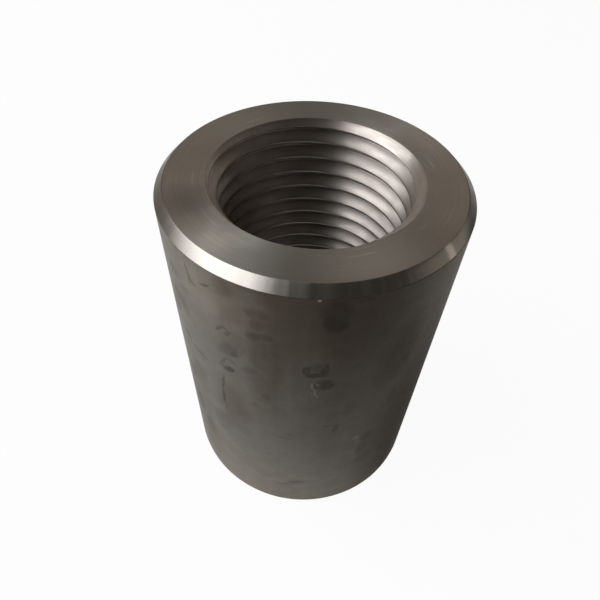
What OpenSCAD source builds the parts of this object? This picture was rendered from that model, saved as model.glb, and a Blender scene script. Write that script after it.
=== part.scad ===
/* [Sleeve] */
// Outside diameter of the sleeve
outer_d = 48; // [44:0.5:56]
// Length of the sleeve from end face to end face
sleeve_len = 66.5; // [50:0.5:90]
// Width and depth of the 45 degree chamfer round each outer edge
edge_chamfer = 1.4; // [0.5:0.1:2.5]

/* [Thread] */
// Nominal diameter of the bar thread, which is the diameter at the bottom of its grooves
thread_d = 33; // [27:0.5:36]
// Distance from one crest of the thread to the next
pitch = 3; // [2:0.5:4]
// Angle between the two flanks of a groove
thread_angle = 75; // [60:1:80]
// Width of the flat on each crest and of the one at the bottom of each groove
thread_flat = 0.25; // [0.1:0.05:0.4]

/* [Mouths] */
// Included angle of the countersink that leads a bar into each end
mouth_angle = 90; // [60:5:120]
// How far each mouth stands outside the bottom of the grooves
mouth_margin = 0.05; // [0:0.05:0.5]

/* [Hidden] */
$fn = 144;

root_r = thread_d / 2;
thread_depth = (pitch / 2 - thread_flat) / tan(thread_angle / 2);
// Radius of the hole before tapping, which the crests keep
crest_r = root_r - thread_depth;
mouth_r = root_r + mouth_margin;
mouth_depth = (mouth_r - crest_r) / tan(mouth_angle / 2);
// How far a cutter runs past the face that it enters
overrun = 1;
// Grooves on each side of the sleeve's middle, enough to run past its end faces
half_grooves = ceil((sleeve_len / 2 + overrun) / pitch);

// Round bar cut to length, with both outer edges turned to a chamfer
module turned_bar() {
  outer_r = outer_d / 2;
  cylinder(h = edge_chamfer, r1 = outer_r - edge_chamfer, r2 = outer_r);
  translate([0, 0, edge_chamfer])
    cylinder(h = sleeve_len - 2 * edge_chamfer, r = outer_r);
  translate([0, 0, sleeve_len - edge_chamfer])
    cylinder(h = edge_chamfer, r1 = outer_r, r2 = outer_r - edge_chamfer);
}

// Corners of one groove as [radius, height], with the middle of the crest below it at height 0
function groove_corners() = [
  [crest_r, thread_flat / 2],
  [root_r, (pitch - thread_flat) / 2],
  [root_r, (pitch + thread_flat) / 2],
  [crest_r, pitch - thread_flat / 2]
];

// Hole from end to end with the thread's grooves in its wall. Each groove is a level ring with
// the thread's true section, and stands for one turn of the right-hand helix
module threaded_hole() {
  reach = half_grooves * pitch;
  translate([0, 0, sleeve_len / 2])
    rotate_extrude()
      polygon([
        [0, -reach],
        for (turn = [-half_grooves : half_grooves - 1], corner = groove_corners())
          corner + [0, turn * pitch],
        [0, reach]
      ]);
}

// Countersink in the lower end face, with its wide end outwards
module mouth_cutter() {
  flare = overrun * tan(mouth_angle / 2);
  translate([0, 0, -overrun])
    cylinder(h = overrun + mouth_depth, r1 = mouth_r + flare, r2 = crest_r);
}

// One turned piece of steel, open from end to end and the same at both ends
module sleeve() {
  color("dimgray")
    difference() {
      turned_bar();
      threaded_hole();
      mouth_cutter();
      translate([0, 0, sleeve_len])
        mirror([0, 0, 1])
          mouth_cutter();
    }
}

sleeve();
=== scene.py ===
"""Dresses a bar coupler: one turned steel sleeve, tapped right through, with its rolled skin left on."""

import math
from collections import namedtuple

import bpy
from mathutils import Matrix, Quaternion, Vector, noise


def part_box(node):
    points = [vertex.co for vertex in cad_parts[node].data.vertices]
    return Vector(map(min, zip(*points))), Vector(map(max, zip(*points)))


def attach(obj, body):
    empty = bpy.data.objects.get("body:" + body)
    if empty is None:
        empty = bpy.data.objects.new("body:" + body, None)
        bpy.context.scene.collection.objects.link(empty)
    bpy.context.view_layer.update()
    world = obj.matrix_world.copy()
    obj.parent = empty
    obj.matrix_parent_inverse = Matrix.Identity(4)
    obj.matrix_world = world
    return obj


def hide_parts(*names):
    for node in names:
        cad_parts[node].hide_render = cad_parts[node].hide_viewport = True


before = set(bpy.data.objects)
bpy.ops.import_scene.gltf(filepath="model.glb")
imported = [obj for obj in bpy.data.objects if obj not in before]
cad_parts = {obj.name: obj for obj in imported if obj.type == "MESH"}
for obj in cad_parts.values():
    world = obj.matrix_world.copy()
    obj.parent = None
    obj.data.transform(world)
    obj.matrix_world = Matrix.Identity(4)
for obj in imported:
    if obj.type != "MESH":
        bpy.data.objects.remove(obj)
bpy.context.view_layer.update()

bl_info = {
    "name": "Bar Coupler Sleeve",
    "version": (1, 0, 0),
    "blender": (4, 5, 0),
    "location": "3D View > Sidebar > Coupler",
    "description": "Makes a threaded steel sleeve and the small studio that it stands in",
    "category": "Add Mesh",
}

MM = 0.001
FOOT_CORNER, TOP_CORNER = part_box("sleeve")

# How finely the sleeve is divided.
COLUMNS = 192  # Around the axis. In one turn the thread also climbs this many steps.
MOUTH_STRIDE = 4  # Steps between the level rows in each mouth.
MOUTH_SPARE = 4  # Level rows that lie past the end of each countersink.
FACE_BANDS = 6
WALL_BANDS = 60
CORNER_BANDS = 3
SKIN_WAVE = 9 * MM  # How long the skin's waves are round the sleeve. Along it they are twice as long.

# The finishes, in the order of the sleeve's material slots.
SKIN, TURNED, CHAMFER, THREAD = range(4)


def length_property(name, description, default):
    """A length that shows in the scene's units."""
    return bpy.props.FloatProperty(
        name=name, description=description, default=default, min=0, subtype="DISTANCE", unit="LENGTH"
    )


def colour_property(name, description, default):
    """A colour, where 1 is white."""
    return bpy.props.FloatVectorProperty(
        name=name, description=description, default=default, min=0, soft_max=1, subtype="COLOR"
    )


def share_property(name, description, default):
    """A share from 0 to 1."""
    return bpy.props.FloatProperty(
        name=name, description=description, default=default, min=0, max=1, subtype="FACTOR"
    )


def angle_property(name, description, degrees):
    """An angle, given in degrees."""
    return bpy.props.FloatProperty(
        name=name,
        description=description,
        default=math.radians(degrees),
        subtype="ANGLE",
        unit="ROTATION",
    )


def level_property(name, description, default):
    """A brightness, where 1 is white."""
    return bpy.props.FloatProperty(name=name, description=description, default=default, min=0)


class SleeveSizes(bpy.types.PropertyGroup):
    """The sizes of the sleeve, apart from its length and outer diameter, which the frame gives."""

    thread_diameter: length_property("Thread diameter", "Diameter across the thread's roots", 33 * MM)
    thread_pitch: length_property("Thread pitch", "How far the thread climbs in one turn", 3 * MM)
    thread_angle: angle_property("Thread angle", "Angle between the two flanks of the groove", 75)
    thread_flat: length_property("Thread flat", "Width of the flats on crests and roots", 0.25 * MM)
    thread_start: length_property("Thread start", "Height of the lowest crest on the +X side", 2.28 * MM)
    crest_ease: length_property("Crest ease", "How far crests and roots are rounded", 0.08 * MM)
    mouth_diameter: length_property("Mouth diameter", "Diameter of the countersink at each end", 33.1 * MM)
    edge_chamfer: length_property("Edge chamfer", "Width of the chamfers round the outside", 1.4 * MM)
    edge_ease: length_property("Edge ease", "How far each turned corner is rounded", 0.08 * MM)
    skin_wander: length_property("Skin wander", "How far the rolled skin wanders in and out", 0.03 * MM)


class SteelFinishes(bpy.types.PropertyGroup):
    """The colours and gloss of the sleeve's four finishes."""

    skin_colour: colour_property("Rolled skin", "The skin left by the mill", (0.165, 0.153, 0.134))
    # Painted shade: the dark end of the skin's colour toward one upper side, also painted on the chamfers'
    # sides.
    painted_shade_colour: colour_property("Painted shade", "Where painted shade darkens the skin", (0.066, 0.054, 0.040))
    skin_tint: colour_property("Skin tint", "Tint of what the rolled skin mirrors", (1, 0.88, 0.72))
    # Painted shade in wide soft places on the skin.
    painted_shade_tone: colour_property("Shaded patches", "What multiplies the skin where painted shade lies", (0.62, 0.58, 0.5))
    # Painted light in wide soft places on the skin, most of all round the front of the foot.
    painted_light_tone: colour_property("Painted light", "What multiplies the skin where painted light lies", (1.5, 1.48, 1.44))
    stain_tone: colour_property("Stain", "What multiplies the skin in a dark spot", (0.40, 0.37, 0.33))
    scratch_colour: colour_property("Scratch", "Scratches through the skin", (0.30, 0.28, 0.25))
    turned_colour: colour_property("Turned face", "The two end faces", (0.42, 0.4, 0.38))
    chamfer_colour: colour_property("Chamfer", "The chamfers round the outside", (0.44, 0.42, 0.39))
    thread_colour: colour_property("Thread", "The tapped bore", (0.465, 0.428, 0.4))
    skin_metal: share_property("Skin metal", "How much bare metal shows through the skin", 0.0)
    skin_gloss: share_property("Skin gloss", "How strongly the skin mirrors, where glass is 0.5", 0.1)
    skin_roughness: share_property("Skin roughness", "Roughness of the rolled skin", 0.5)
    turned_roughness: share_property("Face roughness", "Roughness of the end faces", 0.33)
    chamfer_roughness: share_property("Chamfer roughness", "Roughness of the chamfers", 0.3)
    thread_roughness: share_property("Thread roughness", "Roughness of the tapped bore", 0.42)


class StudioLook(bpy.types.PropertyGroup):
    """The floor, the light and the camera."""

    floor_colour: colour_property("Floor", "The pale floor", (0.9, 0.9, 0.9))
    floor_lift: share_property("Floor lift", "Share of plain white seen in the floor", 0.95)
    floor_size: length_property("Floor size", "Side of the square floor", 4.0)
    lamp_distance: length_property("Lamp distance", "How far the lamps stand from the sleeve", 0.6)
    key_level: level_property("Key level", "Brightness of the large lamp's face", 2.85)
    key_azimuth: angle_property("Key azimuth", "Direction of the large lamp from +X", -171.7)
    key_elevation: angle_property("Key elevation", "Height of the large lamp as an angle", 40)
    key_lean: angle_property("Key lean", "How far the large lamp is turned in its own plane", 57.5)
    key_width: length_property("Key width", "Width of the large lamp's face", 0.65)
    key_height: length_property("Key height", "Height of the large lamp's face", 0.72)
    room_colour: colour_property("Room colour", "Tint of the light from the room", (1, 0.9, 0.78))
    front_level: level_property("Front level", "Brightness of the rest of the room", 0.045)
    back_level: level_property("Back level", "Brightness of the far side of the room, toward +Y", 0.3)
    side_level: level_property("Side level", "Brightness of the room's +X side, near the floor", 0.34)
    fill_level: level_property("Fill level", "Brightness of the small lamp's face", 0.2)
    fill_azimuth: angle_property("Fill azimuth", "Direction of the small lamp from +X", -10)
    fill_elevation: angle_property("Fill elevation", "Height of the small lamp as an angle", 60)
    fill_width: length_property("Fill width", "Side of the small lamp's square face", 0.12)
    camera_place: bpy.props.FloatVectorProperty(
        name="Camera place",
        description="Where the camera stands",
        default=(-1.566 * MM, -64.70 * MM, 110.27 * MM),
        subtype="TRANSLATION",
        unit="LENGTH",
    )
    camera_drop: angle_property("Camera drop", "How far below level the camera looks", 48.07)
    camera_roll: angle_property("Camera roll", "How far the camera leans about its line of sight", 2.584)
    camera_lens: bpy.props.FloatProperty(
        name="Camera lens",
        description="Focal length in millimetres on a 36 mm sensor",
        default=30.48,
        min=1,
    )


# ---------------------------------------------------------------------------
# The shape of the sleeve
# ---------------------------------------------------------------------------


def eased_ramp(distance, ease):
    """The distance where it is positive and 0 where it is negative, with a parabola round the corner."""
    if distance <= -ease:
        return 0.0
    if distance >= ease:
        return distance
    return (distance + ease) ** 2 / (4 * ease)


def curve_round(before, corner, after):
    """Points of the curve that rounds a corner, without its first one."""
    shares = [band / CORNER_BANDS for band in range(1, CORNER_BANDS + 1)]
    return [before * (1 - t) ** 2 + corner * 2 * t * (1 - t) + after * t**2 for t in shares]


def even_steps(start, end, bands):
    """Evenly spaced points from start to end, without the first one."""
    return [start.lerp(end, band / bands) for band in range(1, bands + 1)]


class SleeveShape:
    """Turns the sleeve's sizes into rows of its bore and points of its outline."""

    def __init__(self, sizes):
        self.foot = FOOT_CORNER.z
        self.top = TOP_CORNER.z
        self.outer_radius = (TOP_CORNER.x - FOOT_CORNER.x) / 2
        self.mouth_radius = sizes.mouth_diameter / 2
        self.chamfer = sizes.edge_chamfer
        self.edge_ease = sizes.edge_ease
        self.crest_ease = sizes.crest_ease
        self.wander = sizes.skin_wander
        self.pitch = sizes.thread_pitch
        self.step = self.pitch / COLUMNS
        self.crest_edge = sizes.thread_flat / 2
        self.root_edge = self.pitch / 2 - self.crest_edge
        self.flank_slope = 1 / math.tan(sizes.thread_angle / 2)
        depth = self.flank_slope * (self.root_edge - self.crest_edge)
        self.root_radius = sizes.thread_diameter / 2
        self.crest_radius = self.root_radius - depth
        self.last_row = round((self.top - self.foot - 2 * self.edge_ease) / self.step)
        self.crest_row = round((sizes.thread_start - self.edge_ease) / self.step)
        ease_rows = round(self.crest_ease / self.step)
        edges = set()
        for edge in (self.crest_edge, self.root_edge):
            middle = round(edge / self.step)
            edges |= {middle - ease_rows, middle, middle + ease_rows}
        self.thread_edges = edges | {COLUMNS - edge for edge in edges}
        # A countersink is as deep as it is wide.
        mouth_rows = round((self.mouth_radius - self.crest_radius) / self.step)
        low_rows = range(0, mouth_rows + MOUTH_SPARE * MOUTH_STRIDE, MOUTH_STRIDE)
        self.level_rows = set(low_rows) | {self.last_row - row for row in low_rows}

    def turn(self, column, row):
        """How many steps a place on the bore lies above the crest under it."""
        return (row - column - self.crest_row) % COLUMNS

    def thread_rows(self, column):
        """The rows of one column that lie on the edges of the thread's crests and roots."""
        rows = range(self.last_row + 1)
        return {row for row in rows if self.turn(column, row) in self.thread_edges}

    def bore_point(self, column, row):
        """Radius and height of the bore, where the thread meets the countersinks in an eased edge."""
        height = self.foot + self.edge_ease + row * self.step
        turn = self.turn(column, row)
        from_crest = min(turn, COLUMNS - turn) * self.step
        rise = eased_ramp(from_crest - self.crest_edge, self.crest_ease)
        rise -= eased_ramp(from_crest - self.root_edge, self.crest_ease)
        thread = self.crest_radius + self.flank_slope * rise
        countersink = self.mouth_radius - min(height - self.foot, self.top - height)
        return thread + eased_ramp(countersink - thread, self.crest_ease / 2), height

    def outline(self):
        """The points from the upper mouth round the outside to the lower one, and each band's finish."""
        ease = self.edge_ease
        outward, downward = Vector((1, 0)), Vector((0, -1))
        slope = (outward + downward).normalized()
        mouth = Vector((self.mouth_radius, self.top))
        rim = Vector((self.outer_radius - self.chamfer, self.top))
        shoulder = Vector((self.outer_radius, self.top - self.chamfer))
        points = [mouth + (downward - outward) * ease]
        finishes = []

        def add(more, finish):
            points.extend(more)
            finishes.extend([finish] * len(more))

        add(curve_round(points[0], mouth, mouth + outward * ease), THREAD)
        add(even_steps(points[-1], rim - outward * ease, FACE_BANDS), TURNED)
        add(curve_round(points[-1], rim, rim + slope * ease), CHAMFER)
        add(even_steps(points[-1], shoulder - slope * ease, CORNER_BANDS), CHAMFER)
        add(curve_round(points[-1], shoulder, shoulder + downward * ease), SKIN)
        # The lower half is the upper one in a mirror.
        twins = [Vector((point.x, self.foot + self.top - point.y)) for point in reversed(points)]
        twin_finishes = finishes[::-1]
        add(even_steps(points[-1], twins[0], WALL_BANDS), SKIN)
        points.extend(twins[1:])
        finishes.extend(twin_finishes)
        return points, finishes

    def skin_offset(self, angle, height):
        """How far the rolled skin stands out from a true cylinder."""
        place = Vector((math.cos(angle), math.sin(angle), 0)) * self.outer_radius
        place += Vector((0, 0, height / 2))
        return self.wander * noise.noise(place / SKIN_WAVE)


def column_angle(column):
    """The angle of a column from +X."""
    return 2 * math.pi * column / COLUMNS


class MeshBuilder:
    """Collects the corners and faces of a mesh."""

    def __init__(self):
        self.corners = []
        self.faces = []
        self.finishes = []

    def corner(self, column, radius, height):
        """Adds a corner on one column and returns its number."""
        angle = column_angle(column)
        self.corners.append((radius * math.cos(angle), radius * math.sin(angle), height))
        return len(self.corners) - 1

    def face(self, corners, finish):
        """Adds a face, leaving out corners that come twice."""
        self.faces.append(list(dict.fromkeys(corners)))
        self.finishes.append(finish)

    def mesh(self, name):
        """The finished mesh, shaded smooth."""
        made = bpy.data.meshes.new(name)
        made.from_pydata(self.corners, [], self.faces)
        made.polygons.foreach_set("material_index", self.finishes)
        made.shade_smooth()
        made.validate()
        return made


def sleeve_mesh(shape):
    """One closed surface: bore, mouths, end faces, chamfers and wall."""
    builder = MeshBuilder()
    bore = []
    for column in range(COLUMNS):
        rows = sorted(shape.level_rows | shape.thread_rows(column))
        bore.append({row: builder.corner(column, *shape.bore_point(column, row)) for row in rows})

    points, finishes = shape.outline()
    outside = [[bore[column][shape.last_row]] for column in range(COLUMNS)]
    for column in range(COLUMNS):
        for point, finish in zip(points[1:-1], finishes):
            offset = shape.skin_offset(column_angle(column), point.y) if finish == SKIN else 0
            outside[column].append(builder.corner(column, point.x + offset, point.y))
        outside[column].append(bore[column][0])

    for column in range(COLUMNS):
        following = (column + 1) % COLUMNS
        # An edge either keeps its level or climbs one step with the thread, so that no two of them cross.
        edges = [(row, row) for row in shape.level_rows]
        edges += [(row, row + 1) for row in shape.thread_rows(column) if row < shape.last_row]
        edges.sort(key=sum)
        here, there = bore[column], bore[following]
        for (low, low_next), (high, high_next) in zip(edges, edges[1:]):
            builder.face((here[low], here[high], there[high_next], there[low_next]), THREAD)
        here, there = outside[column], outside[following]
        for band, finish in enumerate(finishes):
            builder.face((here[band], here[band + 1], there[band + 1], there[band]), finish)
    return builder.mesh("threaded_sleeve")


# ---------------------------------------------------------------------------
# Finishes
# ---------------------------------------------------------------------------

Mark = namedtuple("Mark", "azimuth height half_width half_height lean strength")

# Painted shade darkens the skin toward one upper side of the sleeve, by this much for each millimetre.
SHADE_CLIMB = (0.0461, 0.0073, 0.0179)
# How far mottles and streaks swing that darkness, and how fine the streaks are round the sleeve and up it.
MOTTLE_SWING = 0.32
STREAK_SWING = 0.4
STREAK_SCALE = (0.35, 0.35, 0.02)
# What multiplies the skin at the two ends of its patchiness.
PATCH_TONES = ((1.03, 1.045, 1.035), (0.93, 0.91, 0.9))
# How much rougher the places with painted shade are.
PAINTED_SHADE_ROUGHNESS = 0.45
# In millimetres: how far the marks' outlines are shaken, how high the grain is and how deep a pit.
SHAKE = 1.1
GRAIN_HEIGHT = 0.004
PIT_DEPTH = 0.025

# The marks on the skin: where they are round the sleeve in degrees and up it in millimetres, half sizes
# in millimetres, lean in degrees, and strength from 0 to 1.
PITS = (
    # A ring with a dark rim, open to the upper left.
    Mark(-90.5, 49.9, 0.65, 1.2, -10, 0.85),
    Mark(-87.2, 48.9, 1.7, 0.6, 4, 0.95),
    Mark(-84.1, 50.2, 0.6, 1.6, -11, 0.85),
    Mark(-86.2, 50.7, 1.3, 1.2, 0, 0.45),
    # A deep spot under it.
    Mark(-83.7, 46.3, 1.6, 1.4, 0, 0.75),
    Mark(-82.9, 46.2, 1.1, 1.0, 0, 1.0),
    # The foot of a pale oval.
    Mark(-119.9, 44.9, 1.4, 0.6, 30, 0.85),
    # A slanting pair.
    Mark(-77.2, 32.6, 0.5, 1.3, -15, 0.6),
    Mark(-81.0, 33.6, 0.7, 0.3, 0, 0.5),
)
STAINS = (
    # A wide patch under the chamfer, darkest at its lower left.
    Mark(-82.4, 62.4, 1.9, 2.8, 0, 0.65),
    Mark(-84.0, 60.8, 1.1, 1.8, 0, 0.85),
    Mark(-81.4, 60.0, 1.3, 1.3, 0, 0.8),
    Mark(-75.5, 64.7, 1.7, 0.5, -5, 0.35),
    # A chain of marks down the left: hook, blob, oval and hairline.
    Mark(-122.0, 54.4, 0.35, 1.1, -35, 0.55),
    Mark(-119.4, 54.9, 0.8, 0.35, -25, 0.5),
    Mark(-118.7, 54.1, 0.35, 0.8, -21, 0.45),
    Mark(-119.3, 50.0, 2.2, 1.3, 35, 0.4),
    Mark(-117.3, 49.3, 1.0, 0.55, 35, 0.6),
    Mark(-122.3, 46.5, 0.3, 1.4, -30, 0.5),
    Mark(-118.3, 47.2, 1.1, 0.3, -27, 0.4),
    Mark(-122.2, 44.7, 1.0, 0.35, -39, 0.5),
    Mark(-123.9, 39.7, 0.22, 2.6, -8, 0.65),
    Mark(-124.4, 34.5, 0.25, 3.2, 3, 0.65),
    Mark(-127.2, 26.0, 2.3, 2.8, 0, 0.35),
    Mark(-127.6, 23.2, 1.7, 1.0, 20, 0.3),
    # The upper left, with two bent hairlines.
    Mark(-134.4, 62.0, 0.25, 1.5, 8, 0.65),
    Mark(-132.4, 60.5, 0.9, 0.25, -15, 0.6),
    Mark(-126.2, 61.9, 1.0, 0.28, 27, 0.65),
    Mark(-119.0, 63.3, 1.7, 1.3, 0, 0.35),
    Mark(-119.2, 62.2, 1.3, 0.4, 25, 0.35),
    Mark(-146.8, 53.4, 1.6, 1.3, 0, 0.5),
    Mark(-142.5, 52.8, 1.4, 1.8, 0, 0.42),
    Mark(-149.0, 50.6, 1.3, 1.3, 0, 0.48),
    Mark(-139.0, 57.0, 1.2, 0.9, 0, 0.3),
    Mark(-145.5, 59.0, 1.5, 1.2, 0, 0.35),
    # The lower left edge.
    Mark(-143.6, 44.6, 1.0, 0.5, -35, 0.65),
    Mark(-138.0, 43.2, 2.9, 0.4, -3, 0.5),
    Mark(-139.5, 36.2, 2.1, 2.8, 0, 0.38),
    Mark(-146.1, 23.5, 1.6, 2.6, 0, 0.42),
    Mark(-139.3, 17.3, 1.7, 2.6, 0, 0.38),
    Mark(-146.5, 33.0, 1.6, 2.0, 0, 0.38),
    # Between the chain and the middle.
    Mark(-108.6, 60.6, 1.2, 0.9, 0, 0.4),
    Mark(-107.3, 58.6, 1.0, 1.3, 0, 0.4),
    Mark(-108.4, 55.8, 1.1, 0.9, 15, 0.45),
    Mark(-105.2, 60.5, 0.9, 0.9, 0, 0.35),
    Mark(-104.3, 56.2, 1.1, 0.7, 0, 0.3),
    Mark(-111.3, 47.0, 1.2, 0.9, 20, 0.35),
    Mark(-104.9, 41.1, 0.9, 0.8, 0, 0.25),
    Mark(-110.1, 37.4, 1.0, 0.9, 0, 0.25),
    Mark(-98.5, 29.0, 1.7, 0.4, -10, 0.3),
    Mark(-95.2, 30.4, 0.7, 0.4, 0, 0.25),
    # The right side.
    Mark(-61.2, 25.8, 1.2, 1.6, 0, 0.45),
    Mark(-62.9, 21.6, 1.1, 2.6, 0, 0.45),
    Mark(-60.0, 17.0, 1.7, 2.2, 0, 0.3),
    Mark(-53.1, 37.0, 0.8, 2.2, 0, 0.4),
    Mark(-51.3, 47.4, 0.8, 1.1, 0, 0.4),
    Mark(-72.9, 38.1, 0.9, 2.3, 0, 0.2),
    # Streaks near the foot.
    Mark(-97.5, 9.0, 2.6, 0.35, 10, 0.35),
    Mark(-91.6, 10.6, 1.5, 0.7, 12, 0.5),
)
# Wide and soft: places of painted shade, and places of painted light.
PAINTED_SHADE = (
    Mark(-36.0, 19.0, 9.0, 28.0, 0, 0.62),
    Mark(-74.0, 60.0, 6.0, 8.0, 0, 0.32),
    Mark(-55.0, 49.0, 4.0, 9.0, 0, 0.35),
    Mark(-105.0, 46.0, 2.2, 12.0, 0, 0.4),
    Mark(-144.0, 20.0, 4.0, 16.0, 0, 0.2),
    Mark(-119.5, 34.0, 3.0, 6.0, 0, 0.4),
    Mark(-141.0, 12.0, 4.0, 8.0, 0, 0.25),
)
PAINTED_LIGHT = (
    Mark(-96.0, -2.0, 20.0, 18.0, 0, 1.0),
    Mark(-126.0, 62.0, 6.0, 7.0, 0, 0.9),
    Mark(-36.0, 62.0, 6.5, 8.0, 0, 1.0),
    Mark(-64.0, 29.0, 5.0, 10.0, 0, 0.5),
    Mark(-50.5, 22.0, 3.5, 8.0, 0, 0.5),
    Mark(-70.0, 20.0, 4.0, 7.0, 0, 0.5),
    Mark(-112.0, 61.0, 4.0, 4.0, 0, 0.45),
)
SCRATCHES = (
    Mark(-88.1, 45.9, 0.18, 0.8, 12, 0.45),
    Mark(-87.0, 44.0, 0.14, 1.1, 22, 0.45),
    Mark(-86.3, 46.4, 0.15, 0.3, 35, 0.35),
    Mark(-88.4, 43.8, 0.12, 0.4, -15, 0.25),
    Mark(-66.6, 26.7, 0.6, 0.6, 0, 0.25),
    # A nick at the lower edge of the chamfer.
    Mark(-87.7, 64.9, 0.25, 0.2, 0, 0.9),
)

# How much of an end face's pattern is turned rings, and how high they are in millimetres.
RING_SHARE = 0.25
RING_HEIGHT = 0.001
# The end faces are warmer toward -X and +X: what multiplies them in the middle, and what there.
FACE_TONES = ((0.97, 1.0, 1.0), (1.04, 0.985, 0.95))
# Where that change starts and ends, in millimetres from the middle, and how far it sways.
WARM_START, WARM_END, WARM_SWAY = 8, 19, 14
# What multiplies the end faces in the light arcs that the tool left, and the noise at which an arc starts
# and is light in full, across the arcs and where they are broken off.
ARC_TONE = (1.3, 1.3, 1.28)
ARC_EDGES = (0.58, 0.72)
ARC_BREAKS = (0.48, 0.62)
# Painted highlights and painted shade on the end faces: the middle, how far they reach, and what multiplies
# the colour.
FACE_HIGHLIGHTS_AND_SHADE = (
    ((7.0, -19.0, 0.0), 11.0, 1.75),
    ((-13.5, 15.0, 0.0), 13.0, 1.3),
    ((-12.5, -16.0, 0.0), 6.0, 1.15),
    ((-18.0, -9.0, 0.0), 7.0, 0.62),
)

# Where painted shade darkens the chamfers: from bright to shaded, in millimetres along X.
CHAMFER_SHADE = ((19.5, 22.3), (-13, -23))
# A painted glint on the chamfers: where it is, in millimetres round the sleeve from +X, and how far from
# there it starts and is bright in full.
GLINT_ARC = -16.3
GLINT_EDGES = (1.2, 0.3)
GLINT_COLOUR = (0.85, 0.8, 0.74)

# Painted shade on crests and roots and painted light on flanks and in the countersinks: what multiplies the
# thread's colour there.
CREST_SHADE, FLANK_LIGHT, ROOT_SHADE, CONE_LIGHT = 0.8, 1.08, 0.85, 1.15
# How wide the change is beside the crests and beside the roots, in millimetres.
CREST_BAND, ROOT_BAND = 0.45, 0.5
# How fine the tool's marks are round the bore and along it.
DRAG_SCALE = (0.25, 0.25, 1.0)

# Most of the noise lies between these two values.
NOISE_LOW, NOISE_HIGH = 0.3, 0.7


class NodeBench:
    """Adds and joins the nodes of one material or world."""

    def __init__(self, owner):
        owner.use_nodes = True
        self.tree = owner.node_tree
        self.tree.nodes.clear()

    def add(self, kind, inputs=None, **settings):
        """Adds a node, with its settings and with values or sockets for its inputs."""
        made = self.tree.nodes.new(kind)
        for name, value in settings.items():
            setattr(made, name, value)
        for key, value in (inputs or {}).items():
            self.feed(made.inputs[key], value)
        return made

    def feed(self, socket, value):
        """Joins a socket to another one, or sets its value."""
        if isinstance(value, bpy.types.NodeSocket):
            self.tree.links.new(value, socket)
        else:
            socket.default_value = value

    def math(self, operation, *values, clamp=False):
        """One step of arithmetic on numbers."""
        inputs = dict(enumerate(values))
        return self.add("ShaderNodeMath", inputs, operation=operation, use_clamp=clamp).outputs[0]

    def vector_math(self, operation, *values):
        """One step of arithmetic on vectors."""
        made = self.add("ShaderNodeVectorMath", dict(enumerate(values)), operation=operation)
        return made.outputs["Value" if operation in ("LENGTH", "DOT_PRODUCT") else "Vector"]

    def scaled(self, vector, scale):
        """A vector times a number."""
        made = self.add("ShaderNodeVectorMath", {0: vector, "Scale": scale}, operation="SCALE")
        return made.outputs["Vector"]

    def noise(self, vector, scale, detail=3.0, roughness=0.5):
        """Soft noise from 0 to 1."""
        inputs = {"Vector": vector, "Scale": scale, "Detail": detail, "Roughness": roughness}
        return self.add("ShaderNodeTexNoise", inputs).outputs[0]

    def line_noise(self, place, scale, detail=2.0):
        """Soft noise from 0 to 1 along one number."""
        inputs = {"W": place, "Scale": scale, "Detail": detail}
        return self.add("ShaderNodeTexNoise", inputs, noise_dimensions="1D").outputs[0]

    def remap(self, value, low, high, to_low=0.0, to_high=1.0):
        """Carries one range of numbers to another, with soft ends."""
        inputs = {"Value": value, "From Min": low, "From Max": high, "To Min": to_low, "To Max": to_high}
        return self.add("ShaderNodeMapRange", inputs, interpolation_type="SMOOTHSTEP").outputs[0]

    def mix(self, share, first, second, blend="MIX"):
        """A colour between two others."""
        made = self.add("ShaderNodeMix", data_type="RGBA", blend_type=blend)
        for socket, value in zip((made.inputs[0], made.inputs[6], made.inputs[7]), (share, first, second)):
            self.feed(socket, value)
        return made.outputs[2]

    def tinted(self, colour, tone, share=1.0):
        """A colour multiplied by a tone, in full or in part."""
        return self.mix(share, colour, tone, blend="MULTIPLY")

    def swing(self, pattern, reach):
        """A noise pattern made to swing about 0, by half the reach to each side at most."""
        return self.math("MULTIPLY", self.math("SUBTRACT", pattern, 0.5), reach)

    def dulled(self, pattern, colour, share):
        """A colour that a noise pattern varies between a share of itself and the whole."""
        dull = opaque(share * part for part in colour)
        return self.mix(self.remap(pattern, NOISE_LOW, NOISE_HIGH), dull, opaque(colour))

    def varied(self, pattern, middle, reach):
        """A number that a noise pattern varies, by the reach to each side."""
        return self.remap(pattern, NOISE_LOW, NOISE_HIGH, middle - reach, middle + reach)

    def parts(self, vector):
        """The three parts of a vector."""
        return self.add("ShaderNodeSeparateXYZ", {0: vector}).outputs

    def arc(self, x, y, radius):
        """How far round the sleeve from +X a place is, in millimetres."""
        return self.math("MULTIPLY", self.math("ARCTAN2", y, x), radius / MM)

    def across(self, vector):
        """How long a vector is across the sleeve's axis."""
        return self.vector_math("LENGTH", self.vector_math("MULTIPLY", vector, (1, 1, 0)))

    def object_place(self):
        """The place on the object, in millimetres."""
        coordinates = self.add("ShaderNodeTexCoord").outputs["Object"]
        return self.scaled(coordinates, 1 / MM)

    def bump(self, height):
        """A surface normal from a height in millimetres."""
        return self.add("ShaderNodeBump", {"Height": height, "Distance": MM}).outputs[0]

    def steel(self, inputs):
        """Bare metal unless the inputs say otherwise, joined to the material's output."""
        surface = self.add("ShaderNodeBsdfPrincipled", {"Metallic": 1.0, **inputs})
        self.add("ShaderNodeOutputMaterial", {"Surface": surface.outputs[0]})

    def lathe_marks(self, strength):
        """Inputs for steel with fine marks round its axis, which spread the light across them."""
        tangent = self.add("ShaderNodeTangent", direction_type="RADIAL", axis="Z").outputs[0]
        return {"Anisotropic": strength, "Anisotropic Rotation": 0.25, "Tangent": tangent}


def opaque(colour):
    """A colour with its alpha."""
    return (*colour, 1.0)


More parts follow.
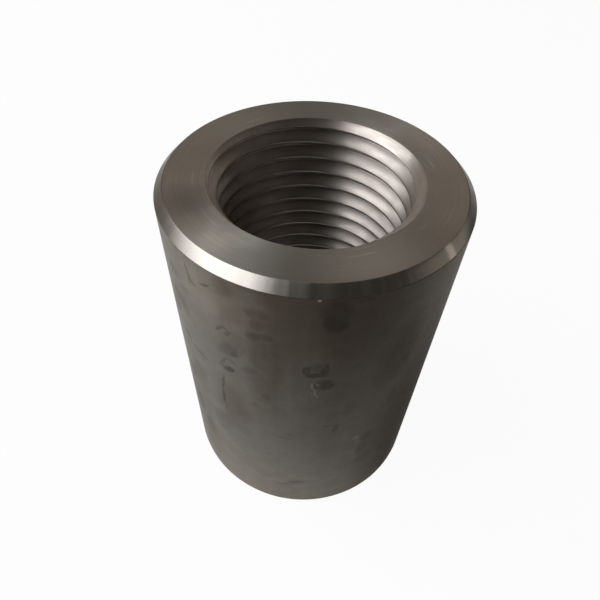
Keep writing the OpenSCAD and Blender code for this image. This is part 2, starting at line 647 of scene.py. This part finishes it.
def mark_mask(bench, unrolled, mark, radius, softness):
    """The mark's strength inside its ellipse, fading to 0 past its edge."""
    middle = (math.radians(mark.azimuth) * radius / MM, mark.height, 0)
    inputs = {
        "Vector": unrolled,
        "Location": middle,
        "Rotation": (0, 0, math.radians(mark.lean)),
        "Scale": (2 * mark.half_width, 2 * mark.half_height, 1),
    }
    mapping = bench.add("ShaderNodeMapping", inputs, vector_type="TEXTURE")
    # The gradient is 1 in the middle, a half on the ellipse and 0 at twice its size.
    gradient = bench.add("ShaderNodeTexGradient", {0: mapping.outputs[0]}, gradient_type="SPHERICAL")
    inside = gradient.outputs["Fac"]
    return bench.remap(inside, (1 - softness) / 2, (1 + softness) / 2, 0.0, mark.strength)


def marks_mask(bench, unrolled, marks, radius, start=0.0, softness=0.45):
    """The strongest of several marks, each joined on as it is made."""
    result = start
    for mark in marks:
        result = bench.math("MAXIMUM", result, mark_mask(bench, unrolled, mark, radius, softness))
    return result


def unrolled_skin(bench, place, radius):
    """The skin laid out flat in millimetres, round from +X and up, and shaken for ragged outlines."""
    x, y, z = bench.parts(place)
    flat = bench.add("ShaderNodeCombineXYZ", {0: bench.arc(x, y, radius), 1: z}).outputs[0]
    shake = bench.add("ShaderNodeTexNoise", {"Vector": place, "Scale": 0.8, "Detail": 3.0}).outputs["Color"]
    shake = bench.scaled(bench.vector_math("SUBTRACT", shake, (0.5, 0.5, 0.5)), SHAKE)
    return bench.vector_math("MULTIPLY", bench.vector_math("ADD", flat, shake), (1, 1, 0))


def shade_and_mottle_share(bench, place):
    """How much painted shade and mottle darken the skin, from 0 to 1: painted shade toward one upper side,
    mottled and faintly streaked upward.
    """
    mottle = bench.noise(place, 0.22, detail=4.0, roughness=0.6)
    streak = bench.noise(bench.vector_math("MULTIPLY", place, STREAK_SCALE), 1.0)
    shade_and_mottle = bench.vector_math("DOT_PRODUCT", place, SHADE_CLIMB)
    shade_and_mottle = bench.math("ADD", shade_and_mottle, bench.swing(mottle, MOTTLE_SWING))
    shade_and_mottle = bench.math("ADD", shade_and_mottle, bench.swing(streak, STREAK_SWING))
    return bench.remap(shade_and_mottle, 0, 1)


def rolled_skin(looks, radius):
    """Dark mill skin with painted shade toward one upper side: mottled, with wide soft places of painted
    shade and painted light, pits, stains, hairlines and scratches.
    """
    material = bpy.data.materials.new("rolled_skin")
    bench = NodeBench(material)
    place = bench.object_place()
    unrolled = unrolled_skin(bench, place, radius)
    pit = marks_mask(bench, unrolled, PITS, radius, softness=0.3)
    stain = marks_mask(bench, unrolled, STAINS, radius, start=pit)
    scratch = marks_mask(bench, unrolled, SCRATCHES, radius)
    # Wide soft places of painted shade, which are also rougher, and of painted light.
    painted_shade = marks_mask(bench, unrolled, PAINTED_SHADE, radius, softness=0.8)
    painted_light = marks_mask(bench, unrolled, PAINTED_LIGHT, radius, softness=0.8)

    # Painted shade toward one upper side of the skin, swung by real mottles and streaks.
    shade_and_mottle = shade_and_mottle_share(bench, place)
    patchy = bench.remap(bench.noise(place, 0.3, roughness=0.6), 0.35, 0.65)
    patchy = bench.mix(patchy, *map(opaque, PATCH_TONES))
    colour = bench.mix(shade_and_mottle, opaque(looks.skin_colour), opaque(looks.painted_shade_colour))
    colour = bench.tinted(colour, opaque(looks.painted_shade_tone), painted_shade)
    colour = bench.tinted(colour, opaque(looks.painted_light_tone), painted_light)
    colour = bench.tinted(colour, patchy)
    colour = bench.tinted(colour, opaque(looks.stain_tone), stain)
    colour = bench.mix(scratch, colour, opaque(looks.scratch_colour))
    grain = bench.noise(place, 2.2, roughness=0.6)
    roughness = bench.remap(grain, 0.2, 0.8, looks.skin_roughness - 0.05, looks.skin_roughness + 0.05)
    rougher = bench.math("MULTIPLY", painted_shade, PAINTED_SHADE_ROUGHNESS)
    roughness = bench.math("ADD", roughness, rougher, clamp=True)
    height = bench.math("MULTIPLY", grain, GRAIN_HEIGHT)
    height = bench.math("SUBTRACT", height, bench.math("MULTIPLY", pit, PIT_DEPTH))
    bench.steel({
        "Metallic": looks.skin_metal,
        "Specular IOR Level": looks.skin_gloss,
        "Specular Tint": opaque(looks.skin_tint),
        "Base Color": colour,
        "Roughness": roughness,
        "Normal": bench.bump(height),
    })
    return material


def turned_face(looks):
    """A faced end: fine rings from the tool, light arcs, painted highlights and shade, and warmer sides."""
    material = bpy.data.materials.new("turned_face")
    bench = NodeBench(material)
    place = bench.object_place()
    from_axis = bench.across(place)
    rings = bench.line_noise(from_axis, 2.5)
    smear = bench.noise(place, 0.12)
    blend = bench.math("MULTIPLY", smear, 1 - RING_SHARE)
    blend = bench.math("ADD", blend, bench.math("MULTIPLY", rings, RING_SHARE))
    colour = bench.dulled(blend, looks.turned_colour, share=0.86)
    from_middle = bench.math("ABSOLUTE", bench.parts(place)[0])
    sway = bench.swing(bench.noise(place, 0.15), WARM_SWAY)
    warmth = bench.remap(bench.math("ADD", from_middle, sway), WARM_START, WARM_END)
    colour = bench.tinted(colour, bench.mix(warmth, *map(opaque, FACE_TONES)))
    arcs = bench.remap(bench.line_noise(from_axis, 1.5, detail=1.0), *ARC_EDGES)
    broken = bench.remap(bench.noise(place, 0.12, detail=2.0), *ARC_BREAKS)
    arcs = bench.math("MULTIPLY", arcs, broken)
    colour = bench.tinted(colour, opaque(ARC_TONE), arcs)
    # Painted highlights, and one place of painted shade, on the end faces.
    for middle, reach, tone in FACE_HIGHLIGHTS_AND_SHADE:
        away = bench.across(bench.vector_math("SUBTRACT", place, middle))
        colour = bench.tinted(colour, bench.remap(away, 0, reach, tone, 1.0))
    bench.steel({
        "Base Color": colour,
        "Roughness": bench.varied(smear, looks.turned_roughness, reach=0.03),
        "Normal": bench.bump(bench.math("MULTIPLY", rings, RING_HEIGHT)),
        **bench.lathe_marks(strength=0.85),
    })
    return material


def bright_chamfer(looks, radius):
    """A chamfer cut in one pass: bright, with faint chatter, one painted glint, and painted shade toward +X
    and -X.
    """
    material = bpy.data.materials.new("bright_chamfer")
    bench = NodeBench(material)
    place = bench.object_place()
    x, y = bench.parts(place)[:2]
    arc = bench.arc(x, y, radius)
    chatter = bench.line_noise(arc, 0.6, detail=3.0)
    # Painted shade: toward +X and -X the chamfers take the dark skin colour and lose their metal.
    browned = bench.math("MAXIMUM", *(bench.remap(x, clean, brown) for clean, brown in CHAMFER_SHADE))
    colour = bench.dulled(chatter, looks.chamfer_colour, share=0.92)
    colour = bench.mix(browned, colour, opaque(looks.painted_shade_colour))
    # A painted glint: a pale patch across the chamfer.
    ragged = bench.math("ADD", arc, bench.noise(place, 0.9))
    from_glint = bench.math("ABSOLUTE", bench.math("SUBTRACT", ragged, GLINT_ARC))
    colour = bench.mix(bench.remap(from_glint, *GLINT_EDGES), colour, opaque(GLINT_COLOUR))
    bench.steel({
        "Metallic": bench.math("SUBTRACT", 1.0, browned),
        "Specular IOR Level": looks.skin_gloss,
        "Base Color": colour,
        "Roughness": bench.varied(chatter, looks.chamfer_roughness, reach=0.03),
    })
    return material


def thread_light_and_shade(bench, place, shape):
    """Painted shade on crests and roots and painted light on flanks and in the countersinks, as what
    multiplies the thread's colour.
    """
    crest, root = shape.crest_radius / MM, shape.root_radius / MM
    from_axis = bench.across(place)
    light_and_shade = bench.remap(from_axis, crest, crest + CREST_BAND, CREST_SHADE, FLANK_LIGHT)
    light_and_shade = bench.math("MULTIPLY", light_and_shade, bench.remap(from_axis, root - ROOT_BAND, root, 1.0, ROOT_SHADE))
    height = bench.parts(place)[2]
    middle = (shape.top + shape.foot) / 2 / MM
    from_middle = bench.math("ABSOLUTE", bench.math("SUBTRACT", height, middle))
    # So far from the middle a countersink's cone meets the crests. The tone changes within 0.3 mm there.
    cone = ((shape.top - shape.foot) / 2 - (shape.mouth_radius - shape.crest_radius)) / MM
    return bench.math("MULTIPLY", light_and_shade, bench.remap(from_middle, cone - 0.2, cone + 0.1, 1.0, CONE_LIGHT))


def tapped_thread(looks, shape):
    """A tapped bore: flanks with painted light between crests and roots with painted shade, with marks that
    run round it.
    """
    material = bpy.data.materials.new("tapped_thread")
    bench = NodeBench(material)
    place = bench.object_place()
    drag = bench.noise(bench.vector_math("MULTIPLY", place, DRAG_SCALE), 1.0)
    colour = bench.dulled(drag, looks.thread_colour, share=0.85)
    bench.steel({
        # Painted light on the flanks and countersinks, and painted shade on crests and roots.
        "Base Color": bench.tinted(colour, thread_light_and_shade(bench, place, shape)),
        "Roughness": bench.varied(drag, looks.thread_roughness, reach=-0.04),
        **bench.lathe_marks(strength=0.75),
    })
    return material


def pale_floor(look):
    """A matt floor, lifted toward plain white for the eye and for the metal that mirrors it."""
    material = bpy.data.materials.new("pale_floor")
    bench = NodeBench(material)
    matt = bench.add("ShaderNodeBsdfDiffuse", {"Color": opaque(look.floor_colour)})
    white = bench.add("ShaderNodeEmission", {"Color": (1, 1, 1, 1), "Strength": 1.0})
    rays = bench.add("ShaderNodeLightPath").outputs
    seen = bench.math("ADD", rays["Is Camera Ray"], rays["Is Glossy Ray"])
    seen = bench.math("ADD", seen, rays["Is Transmission Ray"], clamp=True)
    share = bench.math("MULTIPLY", seen, look.floor_lift)
    surface = bench.add("ShaderNodeMixShader", {0: share, 1: matt.outputs[0], 2: white.outputs[0]})
    bench.add("ShaderNodeOutputMaterial", {"Surface": surface.outputs[0]})
    return material


# ---------------------------------------------------------------------------
# The studio
# ---------------------------------------------------------------------------

# Where the room starts to glow and where it is lit in full: parts along +Y and along +X of a direction.
BACK_GLOW = (0.4, 0.72)
SIDE_GLOW = (0.8, 0.98)


def direction(azimuth, elevation):
    """The unit vector that points at an azimuth from +X and an elevation."""
    level = math.cos(elevation)
    return Vector((level * math.cos(azimuth), level * math.sin(azimuth), math.sin(elevation)))


def add_object(name, data):
    """Puts new data into the scene as an object."""
    made = bpy.data.objects.new(name, data)
    bpy.context.scene.collection.objects.link(made)
    return made


def add_floor(look):
    """A square floor at the height of the sleeve's foot."""
    half = look.floor_size / 2
    height = FOOT_CORNER.z
    mesh = bpy.data.meshes.new("floor")
    corners = [(-half, -half, height), (half, -half, height), (half, half, height), (-half, half, height)]
    mesh.from_pydata(corners, [], [(0, 1, 2, 3)])
    mesh.materials.append(pale_floor(look))
    add_object("floor", mesh)


def add_lamp(name, azimuth, elevation, lean, distance, width, height, level):
    """A flat lamp that faces the sleeve, as bright at its face as the level says."""
    middle = (FOOT_CORNER + TOP_CORNER) / 2
    toward = direction(azimuth, elevation)
    data = bpy.data.lights.new(name, "AREA")
    data.shape = "RECTANGLE"
    data.size = width
    data.size_y = height
    data.energy = level * math.pi * width * height
    lamp = add_object(name, data)
    lamp.location = middle + toward * distance
    lamp.rotation_euler = (toward.to_track_quat("Z", "Y") @ Quaternion((0, 0, 1), lean)).to_euler()


def light_room(look):
    """A dim room, lighter toward +Y and near the floor on its +X side."""
    world = bpy.data.worlds.new("dim_room")
    bpy.context.scene.world = world
    bench = NodeBench(world)
    toward = bench.add("ShaderNodeTexCoord").outputs["Generated"]
    x, y = bench.parts(toward)[:2]
    back = bench.remap(y, *BACK_GLOW, look.front_level, look.back_level)
    side = bench.remap(x, *SIDE_GLOW, look.front_level, look.side_level)
    level = bench.math("MAXIMUM", back, side)
    glow = {"Color": opaque(look.room_colour), "Strength": level}
    background = bench.add("ShaderNodeBackground", glow)
    bench.add("ShaderNodeOutputWorld", {"Surface": background.outputs[0]})


def add_camera(look):
    """The camera that the picture is taken with."""
    data = bpy.data.cameras.new("camera")
    data.sensor_width = 36
    data.lens = look.camera_lens
    data.clip_start = 1 * MM
    data.clip_end = 100
    camera = add_object("camera", data)
    tilt = Matrix.Rotation(math.radians(90) - look.camera_drop, 4, "X")
    lean = Matrix.Rotation(look.camera_roll, 4, "Z")
    camera.matrix_world = Matrix.Translation(look.camera_place) @ tilt @ lean
    bpy.context.scene.camera = camera


# ---------------------------------------------------------------------------
# Operators and panel
# ---------------------------------------------------------------------------


class COUPLER_OT_sleeve(bpy.types.Operator):
    """Make the threaded sleeve and give it its finishes"""

    bl_idname = "coupler.sleeve"
    bl_label = "Threaded Sleeve"

    def execute(self, context):
        shape = SleeveShape(context.scene.coupler_sizes)
        looks = context.scene.coupler_finishes
        mesh = sleeve_mesh(shape)
        materials = {
            SKIN: rolled_skin(looks, shape.outer_radius),
            TURNED: turned_face(looks),
            CHAMFER: bright_chamfer(looks, shape.outer_radius),
            THREAD: tapped_thread(looks, shape),
        }
        for finish in sorted(materials):
            mesh.materials.append(materials[finish])
        sleeve = add_object("threaded_sleeve", mesh)
        sleeve.modifiers.new("even_shading", "WEIGHTED_NORMAL")
        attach(sleeve, "root")
        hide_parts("sleeve")
        return {"FINISHED"}


class COUPLER_OT_studio(bpy.types.Operator):
    """Set up the floor, the lamps, the room and the camera"""

    bl_idname = "coupler.studio"
    bl_label = "Studio"

    def execute(self, context):
        look = context.scene.coupler_studio
        context.scene.view_settings.view_transform = "Standard"
        add_camera(look)
        add_floor(look)
        add_lamp(
            "key_lamp", look.key_azimuth, look.key_elevation, look.key_lean, look.lamp_distance,
            look.key_width, look.key_height, look.key_level,
        )
        add_lamp(
            "fill_lamp", look.fill_azimuth, look.fill_elevation, 0, look.lamp_distance,
            look.fill_width, look.fill_width, look.fill_level,
        )
        light_room(look)
        return {"FINISHED"}


class COUPLER_PT_sidebar(bpy.types.Panel):
    """Lists what the coupler is made of"""

    bl_idname = "COUPLER_PT_sidebar"
    bl_label = "Bar Coupler"
    bl_space_type = "VIEW_3D"
    bl_region_type = "UI"
    bl_category = "Coupler"

    def draw(self, context):
        for group, operator in (
            (context.scene.coupler_sizes, None),
            (context.scene.coupler_finishes, COUPLER_OT_sleeve),
            (context.scene.coupler_studio, COUPLER_OT_studio),
        ):
            for name in group.__annotations__:
                self.layout.prop(group, name)
            if operator:
                self.layout.operator(operator.bl_idname)


GROUPS = {
    "coupler_sizes": SleeveSizes,
    "coupler_finishes": SteelFinishes,
    "coupler_studio": StudioLook,
}
CLASSES = (*GROUPS.values(), COUPLER_OT_sleeve, COUPLER_OT_studio, COUPLER_PT_sidebar)


def register():
    """Makes the classes known, and hangs the property groups on the scene."""
    for each in CLASSES:
        bpy.utils.register_class(each)
    for name, group in GROUPS.items():
        setattr(bpy.types.Scene, name, bpy.props.PointerProperty(type=group))


def unregister():
    """Undoes register."""
    for name in GROUPS:
        delattr(bpy.types.Scene, name)
    for each in reversed(CLASSES):
        bpy.utils.unregister_class(each)


def main():
    """Makes everything."""
    register()
    bpy.ops.coupler.studio()
    bpy.ops.coupler.sleeve()


if __name__ == "__main__":
    main()
